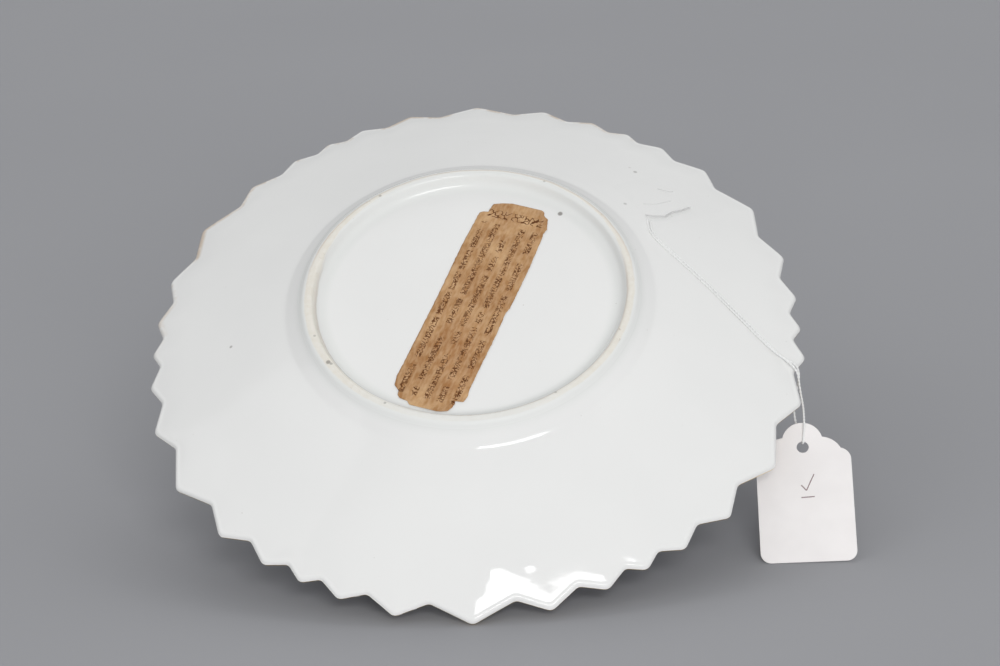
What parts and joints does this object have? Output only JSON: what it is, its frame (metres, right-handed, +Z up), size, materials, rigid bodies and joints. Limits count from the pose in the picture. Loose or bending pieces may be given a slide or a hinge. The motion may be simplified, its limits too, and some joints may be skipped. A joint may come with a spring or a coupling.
{
  "type": "plate display stand",
  "caption": "Folding tabletop stand with a tilting padded frame, slotted prop and clamp knobs, showing the back of a zigzag-rimmed porcelain plate with a swing tag.",
  "frame": {"origin": "on the table, below the middle of the plate's rim", "axes": "+Z up, -Y towards the viewer whom the plate's back faces, +X along the hinge line to the right"},
  "size_m": [0.2378, 0.1996, 0.1164],
  "materials": {
    "glazed_porcelain": "gloss glaze",
    "aged_paper": "matt, stained",
    "clear_tape": "clear satin",
    "white_card": "smooth matt",
    "cotton_thread": "twisted cotton",
    "black_painted_steel": "satin powder coat",
    "bright_steel": "turned",
    "turned_brass": "turned, lightly aged",
    "black_rubber": "soft matt"
  },
  "bodies": {
    "base": {"base_strip_screws": "bright_steel", "front_base_strip": "black_painted_steel", "front_left_foot": "black_rubber", "front_right_foot": "black_rubber", "left_base_rail": "black_painted_steel", "left_hinge_bolt": "bright_steel", "left_hinge_nut": "bright_steel", "left_hinge_spacer": "bright_steel", "left_hinge_washer": "bright_steel", "rear_base_strip": "black_painted_steel", "rear_left_foot": "black_rubber", "rear_right_foot": "black_rubber", "right_base_rail": "black_painted_steel", "right_hinge_bolt": "bright_steel", "right_hinge_nut": "bright_steel", "right_hinge_spacer": "bright_steel", "right_hinge_washer": "bright_steel"},
    "tilting_frame": {"cross_bar_screws": "bright_steel", "left_frame_bar": "black_painted_steel", "lower_cross_bar": "black_painted_steel", "lower_left_cap": "black_rubber", "lower_left_post": "turned_brass", "lower_right_cap": "black_rubber", "lower_right_post": "turned_brass", "right_frame_bar": "black_painted_steel", "upper_cross_bar": "black_painted_steel", "upper_left_cap": "black_rubber", "upper_left_post": "turned_brass", "upper_right_cap": "black_rubber", "upper_right_post": "turned_brass"},
    "prop": {"left_clamp_stud": "turned_brass", "left_clamp_washer": "bright_steel", "left_strut": "black_painted_steel", "right_clamp_stud": "turned_brass", "right_clamp_washer": "bright_steel", "right_strut": "black_painted_steel", "shaft_screws": "bright_steel", "strut_shaft": "bright_steel"},
    "left_knob": {"left_clamp_knob": "turned_brass"},
    "right_knob": {"right_clamp_knob": "turned_brass"},
    "plate": {"paper_label": "aged_paper", "plate": "glazed_porcelain", "tape_patch": "clear_tape", "thread": "cotton_thread"},
    "tag": {"swing_tag": "white_card"}
  },
  "joints": [
    {"name": "frame_tilt", "type": "hinge", "parent": "base", "child": "tilting_frame", "pos_m": [0, -0.05975, 0.011], "axis": [1, 0, 0], "range_deg": [-29.5, 0]},
    {"name": "prop_fold", "type": "hinge", "parent": "tilting_frame", "child": "prop", "pos_m": [0, 0.00433, 0.048], "axis": [1, 0, 0], "range_deg": [0, 59]},
    {"name": "left_knob_turn", "type": "hinge", "parent": "prop", "child": "left_knob", "pos_m": [-0.0532, 0.06842, 0.011], "axis": [-1, 0, 0], "continuous": true},
    {"name": "right_knob_turn", "type": "hinge", "parent": "prop", "child": "right_knob", "pos_m": [0.0532, 0.06842, 0.011], "axis": [1, 0, 0], "continuous": true},
    {"name": "plate_lift", "type": "slide", "parent": "tilting_frame", "child": "plate", "axis": [0, -0.5, 0.866], "range_m": [0, 0.06]},
    {"name": "tag_swing", "type": "hinge", "parent": "plate", "child": "tag", "pos_m": [0.10983, -0.03477, 0.03186], "axis": [-0.9994, 0.0349, 0], "range_deg": [0, 18]}
  ],
  "couplings": [
    {"joint": "prop_fold", "follows": "frame_tilt", "ratio": -2}
  ]
}
